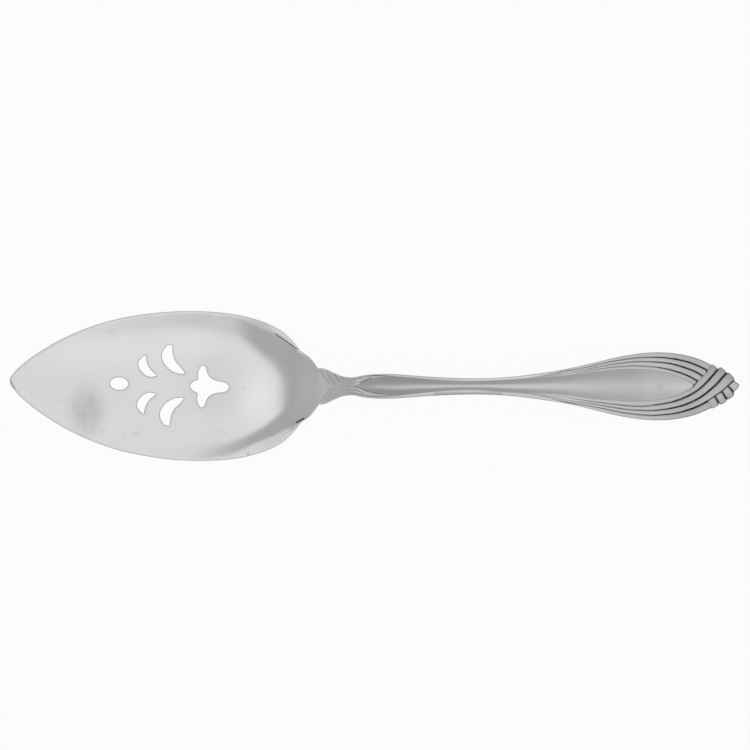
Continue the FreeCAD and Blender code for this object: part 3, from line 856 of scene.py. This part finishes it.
class Plait:
    """Gathers the strands' middle lines, with their half widths, rises, lifts and painted groove shade."""

    def __init__(self):
        self.verts = []
        self.edges = []
        self.values = {"half_width": [], "rise": [], "groove_shade_left": [], "groove_shade_right": []}

    def strand(self, first, second, count, dark, rise=0.34, lift=0.0, nose=0.0, gap=0.03, square=3.0,
               lift_track=None, fade=0.0, end_gap=0.04):
        """Strand between two lines; dark gives the groove's painted shade at the first and second line."""
        middle, half = between(first, second, count)
        opening = deepening(opening_from, opening_to, 0.0, 1.0)(middle[:, 0])
        half = half - gap - end_gap * opening
        reach = distances(middle)
        share = reach / reach[-1]
        lifts = np.full(count, lift) if lift_track is None else np.interp(share, *lift_track)
        if fade:
            lifts = lifts - 0.8 * rise * (1 - smooth(reach / fade))
        rises = np.full(count, rise)
        if nose:
            along = middle[-1] - middle[-3]
            along /= np.hypot(*along)
            steps = np.sin(np.linspace(0, math.pi / 2, 12)[1:])
            extra = middle[-1] + np.outer(steps * nose, along)
            round_off = np.clip(1 - steps ** square, 0.0001, 1) ** (1 / square)
            middle = np.vstack([middle, extra])
            half = np.concatenate([half, half[-1] * round_off])
            rises = np.concatenate([rises, rises[-1] * round_off])
            lifts = np.concatenate([lifts, np.full(len(steps), lifts[-1])])
        x, y = middle.T
        z = core_top(np.minimum(x, from_back(0.4)), np.clip(y, -half_width(x), half_width(x))) + lifts
        begin = len(self.verts)
        self.verts += [(a * MM, b * MM, c * MM) for a, b, c in zip(x, y, z)]
        self.edges += [(begin + i, begin + i + 1) for i in range(len(x) - 1)]
        way = middle[1] - middle[0]
        to_first = np.array(first[0]) - middle[0]
        left, right = dark if way[0] * to_first[1] - way[1] * to_first[0] > 0 else dark[::-1]
        self.values["half_width"] += list(half * MM)
        self.values["rise"] += list(rises * MM)
        for name, depth in (("groove_shade_left", left), ("groove_shade_right", right)):
            self.values[name] += list(depth(x) if callable(depth) else np.full(len(x), depth))


def deepening(start, end, least, most):
    """Value that grows from one column of the plan to another, for the painted shade of a groove and for the
    grooves' opening.
    """
    def read(x):
        return least + (most - least) * smooth((x - plan_x(start)) / (plan_x(end) - plan_x(start)))

    return read


def edge_line(pasts, backs, side=1):
    """Points on the handle's outline."""
    places = [from_past(past) for past in pasts] + [from_back(back) for back in backs]
    return [(x, side * float(half_width(x))) for x in places]


# Places back from the end that the lines of the leaf share, on its upper and lower side
upper_backs = (65.5, 56.9, 50.2, 43.6, 37, 32.6, 28.2, 23.9, 19.5)
lower_backs = (65.5, 54.5, 48, 41.4, 37, 32.6, 28.2, 23.9, 19.5, 15.1)
groove_1 = stations(back=[*zip(upper_backs, (5.4, 6.75, 8.35, 9.55, 10.4, 10.55, 10.45, 9.85, 8.95)),
    (15.1, 7.35), (12.1, 5.9)])
groove_2 = stations(back=[*zip(upper_backs, (4.8, 6.05, 7.4, 8.4, 9, 8.9, 8.65, 7.9, 6.55)),
    (15.1, 4.65), (13.8, 3.85)])
groove_3 = stations(back=[*zip(upper_backs, (4.3, 5.35, 6.5, 7.2, 7.4, 7.1, 6.55, 5.5, 4)),
    (17.3, 2.9), (15.6, 1.95)])
panel_top = stations(back=panel_upper_backs)
line_0 = stations(back=panel_lower_backs[:-1] + [(15.6, 1.95), (13.8, 3.85), (12.1, 5.9), (11.2, 7.15)])
line_3 = stations(back=[*zip(lower_backs, (-3.75, -5.45, -6.3, -7.05, -7.3, -7, -6.35, -5.45, -3.8, -1.15)),
    (12.9, 0.75), (10.7, 3.05), (8.6, 5.5), (7.75, 6.6)])
line_2 = stations(back=[*zip(lower_backs, (-4.8, -6.3, -7.4, -8.4, -8.7, -8.8, -8.45, -7.75, -6.5, -4.4)),
    (12.9, -2.95), (10.7, -1.15), (8.5, 0.75), (6.4, 3.25), (5.05, 4.7)])
line_1 = stations(back=[*zip(lower_backs, (-5.4, -7.2, -8.55, -9.8, -10.3, -10.6, -10.35, -9.85, -8.8, -7.2)),
    (12.9, -6.05), (11.4, -5.2), (8.5, -3.25), (6.4, -1.8), (4.2, 0.15), (2.2, 1.9)])


def crossing_groove_shade(x):
    """Painted shade in the groove of the first crossing strand, only where it passes over the upper bundle.
    """
    return 0.85 * smooth((x - plan_x(691.5)) / 0.7) * smooth((plan_x(698.0) - x) / 0.5)


def plait_lines():
    """All strands, in the order in which they are laid."""
    plait = Plait()
    # Painted shade in the grooves, growing stronger towards the leaf's end
    near = deepening(560, 650, 0.32, 0.97)
    middle = deepening(590, 670, 0.25, 0.97)
    far = deepening(610, 690, 0.18, 0.95)
    # Long outer strands, from the waist along the shaft to the leaf's end
    pasts = (9.6, 12.2, 15, 18, 22, 27, 34, 41.6, 48.9, 55.2, 63.9, 72.7, 80.7)
    shares = (0.3, 0.3, 0.3, 0.34, 0.5, 0.85, 1, 1, 1, 1, 1, 1, 0.75)
    upper_inner = []
    lower_inner = []
    for past, share in zip(pasts, shares):
        x = from_past(past)
        wide = float(half_width(x))
        upper_inner.append((x, wide - share * (wide - float(panel_upper(x)))))
        lower_inner.append((x, -wide + share * (wide + float(panel_lower(x)))))
    upper_edge = edge_line(pasts, upper_backs + (15.1, 11.2))
    lower_edge = edge_line(pasts, lower_backs + (11.6,), -1)
    plait.strand(upper_edge, upper_inner + groove_1, 220, (0.3, near), nose=0.5, fade=5)
    plait.strand(lower_edge, lower_inner + line_1[:-4], 220, (0.55, near), nose=0.5, fade=5)
    # Fine strands of the fork at the panel's front point
    fork_pasts = (8.6, 11.5, 14, 16.5, 19.5, 23, 27)
    for side, panel in ((1, panel_upper), (-1, panel_lower)):
        lines = []
        for share in (0.3, 0.62, 0.97):
            line = []
            for past, least in zip(fork_pasts, (0.3, 0.3, 0.3, 0.32, 0.42, 0.6, 0.85)):
                x = from_past(past)
                wide = float(half_width(x))
                inner = abs(float(panel(x)))
                part = least + (1 - least) * (share - 0.3) / 0.67
                line.append((x, side * (wide - part * (wide - inner))))
            lines.append(line)
        for one, other in zip(lines, lines[1:]):
            plait.strand(one, other, 80, (0.25, 0.25), rise=0.07, fade=4, gap=0.01, square=2.0,
                         lift_track=((0, 0.6, 1), (0, 0, -0.06)))
    # Upper bundle of the leaf, whose strands stop under the crossing ones
    plait.strand(groove_1, groove_2, 110, (near, middle), fade=11)
    plait.strand(groove_2, groove_3, 110, (middle, far), fade=11)
    plait.strand(groove_3, panel_top, 110, (far, 0.12), fade=11)
    # Crossing strands
    lift = ((0, 0.6, 0.74, 0.82, 1), (0, 0.0, 0.08, 0.22, 0.28))
    for first, second, nose, square, dark in ((line_0, line_3, 0.5, 2.3, (crossing_groove_shade, middle)),
                                              (line_3, line_2, 0.62, 2.3, (middle, near)),
                                              (line_2, line_1, 0.7, 2.1, (near, near))):
        plait.strand(first, second, 150, dark, fade=11, nose=nose, square=square, lift_track=lift)
    # Ends of the upper strands, which come out from under the crossing ones
    roots = stations(back=[(12.15, -5.1), (9.3, -3.4), (6.9, -1.5), (4.6, 0.4), (2.5, 2.5)])
    tips = stations(back=[(11, -7.6), (7.6, -6.35), (4.9, -4.55), (2.3, -2.1), (0.85, 1.45)])
    stubs = list(zip(roots, tips))
    for stub, last, dark in zip(stubs, stubs[1:], ((0.12, 0.95), (0.95, 0.95), (0.95, 0.95), (0.95, 0.3))):
        plait.strand(stub, last, 14, dark, rise=0.4, lift=0.06, nose=0.75, gap=0.09, square=2.2, end_gap=0.0)
    return plait


def named(tree, name, kind="FLOAT"):
    return made(tree, "GeometryNodeInputNamedAttribute", fixed=[("Name", name)], data_type=kind)


def store(tree, shape, name, value, kind="FLOAT"):
    """Keeps a value at every point of the shape."""
    return made(tree, "GeometryNodeStoreNamedAttribute", [(0, shape), ("Value", value)], [("Name", name)],
                data_type=kind, domain="POINT")


def plait_tree(material):
    """Turns middle lines into strands with a crowned section and a deep root."""
    sockets = {"Geometry": "Geometry", "Points round": "Int", "Fullness": "Float", "Root depth": "Float"}
    tree, given = start_group("Strands of the plait", "GeometryNodeTree", sockets, "Geometry")

    # Section: a circle, filled out towards a square by the fullness
    circle = made(tree, "GeometryNodeCurvePrimitiveCircle", [("Resolution", given["Points round"])],
                  [("Radius", 1.0)])
    parts = add(tree, "ShaderNodeSeparateXYZ", [(0, made(tree, "GeometryNodeInputPosition"))])
    full = []
    for axis in (0, 1):
        size = maths(tree, "POWER", maths(tree, "ABSOLUTE", parts.outputs[axis]), given["Fullness"])
        full.append(times(tree, size, maths(tree, "SIGN", parts.outputs[axis])))
    joined = made(tree, "ShaderNodeCombineXYZ", [(0, full[0]), (1, full[1])])
    section = made(tree, "GeometryNodeSetPosition", [(0, circle), ("Position", joined)])

    # Tubes along the middle lines, which remember the line and its direction
    lines = made(tree, "GeometryNodeMeshToCurve", [(0, given[0])])
    upright = made(tree, "GeometryNodeSetCurveNormal", [(0, lines)], mode="Z_UP")
    half = named(tree, "half_width")
    kept = store(tree, upright, "path", made(tree, "GeometryNodeInputPosition"), "FLOAT_VECTOR")
    kept = store(tree, kept, "way", made(tree, "GeometryNodeInputTangent"), "FLOAT_VECTOR")
    sized = made(tree, "GeometryNodeSetCurveRadius", [(0, kept), ("Radius", half)])
    tubes = made(tree, "GeometryNodeCurveToMesh",
                 [("Curve", sized), ("Profile Curve", section), ("Scale", half)], [("Fill Caps", True)])

    # The upper half is pressed down to the strand's rise, and the lower half becomes its root
    middle = named(tree, "path", "FLOAT_VECTOR")
    away = vectors(tree, "SUBTRACT", made(tree, "GeometryNodeInputPosition"), middle)
    offset = add(tree, "ShaderNodeSeparateXYZ", [(0, away)])
    level = maths(tree, "DIVIDE", offset.outputs[2], half)
    top = maths(tree, "MAXIMUM", level, 0.0)
    above = times(tree, top, named(tree, "rise"))
    below = times(tree, maths(tree, "MINIMUM", level, 0.0), given["Root depth"])
    place = made(tree, "ShaderNodeCombineXYZ", [(0, offset.outputs[0]), (1, offset.outputs[1]),
                                                (2, maths(tree, "ADD", above, below))])
    moved = vectors(tree, "ADD", middle, place)

    # How high a point stands on its strand, and how much painted shade the groove on its side of the line
    # gives
    crowned = store(tree, tubes, "crown", top)
    turned = vectors(tree, "CROSS_PRODUCT", named(tree, "way", "FLOAT_VECTOR"), away)
    upwards = add(tree, "ShaderNodeSeparateXYZ", [(0, turned)]).outputs[2]
    on_left = maths(tree, "GREATER_THAN", upwards, 0.0)
    left = times(tree, named(tree, "groove_shade_left"), on_left)
    right = times(tree, named(tree, "groove_shade_right"), maths(tree, "SUBTRACT", 1.0, on_left))
    grooved = store(tree, crowned, "groove", maths(tree, "ADD", left, right))

    shaped = made(tree, "GeometryNodeSetPosition", [(0, grooved), ("Position", moved)])
    soft = made(tree, "GeometryNodeSetShadeSmooth", [(0, shaped)])
    real = made(tree, "GeometryNodeRealizeInstances", [(0, soft)])
    painted = made(tree, "GeometryNodeSetMaterial", [(0, real)], [("Material", material)])
    add(tree, "NodeGroupOutput", [(0, painted)])
    return tree


strand_sizes = {"Points round": 22, "Fullness": 0.58, "Root depth": 0.9 * MM}


def make_plait(material):
    """The plait as one mesh, made from its middle lines."""
    plait = plait_lines()
    mesh = bpy.data.meshes.new("plait lines")
    mesh.from_pydata(plait.verts, plait.edges, [])
    for name, values in plait.values.items():
        keep_values(mesh, name, values)
    maker = put("plait lines", mesh)
    modifier = maker.modifiers.new("Strands", "NODES")
    modifier.node_group = plait_tree(material)
    for item in modifier.node_group.interface.items_tree:
        if item.name in strand_sizes:
            modifier[item.identifier] = strand_sizes[item.name]
    graph = bpy.context.evaluated_depsgraph_get()
    mesh = bpy.data.meshes.new_from_object(maker.evaluated_get(graph))
    bpy.data.objects.remove(maker)
    mesh.name = "plait"
    return put("plait", mesh)


# Floor, light and camera, in metres

floor_reach = 4.0
floor_drop = 0.0003
floor_glow = 0.93
lamp_place = (0.05, -0.15, 1.7)
film_width = 36.0
view_distance = 4.0
view_width = 0.27375
# Direction that the room is brightest in, and its brightness from the horizon to there
room_bright = (0.05, -0.07, 0.9963)
room_stops = ((0.0, 0.88), (0.3, 0.6), (0.5, 0.55), (0.743, 0.5), (0.848, 0.6), (0.92, 0.84), (0.97, 1.04),
              (1.0, 1.1))


def make_floor():
    """Pale paper that glows to the eye, and is clear from below."""
    mesh = bpy.data.meshes.new("floor")
    corners = [(x * floor_reach, y * floor_reach, -floor_drop)
               for x, y in ((-1, -1), (1, -1), (1, 1), (-1, 1))]
    mesh.from_pydata(corners, [], [(0, 1, 2, 3)])
    paper = bpy.data.materials.new("pale paper")
    paper.use_nodes = True
    tree = paper.node_tree
    tree.nodes.clear()
    plain = made(tree, "ShaderNodeBsdfDiffuse", fixed=[(0, (0.9, 0.9, 0.9, 1))])
    glow = made(tree, "ShaderNodeEmission", fixed=[(0, (1, 1, 1, 1))])
    rays = add(tree, "ShaderNodeLightPath")
    seen = maths(tree, "MAXIMUM", rays.outputs["Is Camera Ray"],
                 maths(tree, "MAXIMUM", rays.outputs["Is Glossy Ray"], rays.outputs["Is Transmission Ray"]))
    share = times(tree, seen, floor_glow)
    mixed = made(tree, "ShaderNodeMixShader", [(0, share), (1, plain), (2, glow)])
    clear = made(tree, "ShaderNodeBsdfTransparent")
    below = add(tree, "ShaderNodeNewGeometry").outputs["Backfacing"]
    both = made(tree, "ShaderNodeMixShader", [(0, below), (1, mixed), (2, clear)])
    add(tree, "ShaderNodeOutputMaterial", [(0, both)])
    mesh.materials.append(paper)
    put("floor", mesh)


def make_light():
    """A soft room, and one large soft lamp over the piece."""
    world = bpy.data.worlds.new("soft room")
    bpy.context.scene.world = world
    world.use_nodes = True
    tree = world.node_tree
    tree.nodes.clear()
    way = add(tree, "ShaderNodeTexCoord").outputs["Generated"]
    ramp = add(tree, "ShaderNodeValToRGB", [(0, vectors(tree, "DOT_PRODUCT", way, room_bright))])
    ramp.color_ramp.interpolation = "B_SPLINE"
    fill_ramp(ramp, room_stops)
    room = made(tree, "ShaderNodeBackground", [(0, ramp.outputs[0])])
    add(tree, "ShaderNodeOutputWorld", [(0, room)])

    lamp = bpy.data.lights.new("soft lamp", "AREA")
    lamp.shape = "DISK"
    lamp.size = 1.8
    # A brightness of 0.15 over a disc with a radius of 0.9
    lamp.energy = 0.15 * math.pi * math.pi * 0.81
    holder = put("soft lamp", lamp)
    holder.location = lamp_place
    holder.rotation_euler = (math.radians(-5), 0, 0)
    holder.visible_camera = False


def make_camera():
    """Long lens that looks straight down."""
    lens = bpy.data.cameras.new("camera")
    lens.type = "PERSP"
    lens.sensor_width = film_width
    lens.lens = film_width * view_distance / view_width
    lens.clip_end = 100
    camera = put("camera", lens)
    camera.location = (0.146 * MM, 4.12 * MM, 4.004)
    bpy.context.scene.camera = camera


bpy.context.scene.view_settings.view_transform = "Standard"
make_floor()
make_light()
make_camera()

blade_steel = satin_steel("satin steel of the blade", blade_tones, blade_marks)
handle_steel = satin_steel("satin steel of the handle", handle_tones, handle_marks)
# The plait's steel carries painted shade in its grooves
plait_steel = satin_steel("satin steel with painted groove shade", plait_tones, plait_marks)

for piece in (make_blade(blade_steel), make_core(handle_steel), make_plait(plait_steel)):
    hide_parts("pie_server")
    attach(piece, "root")
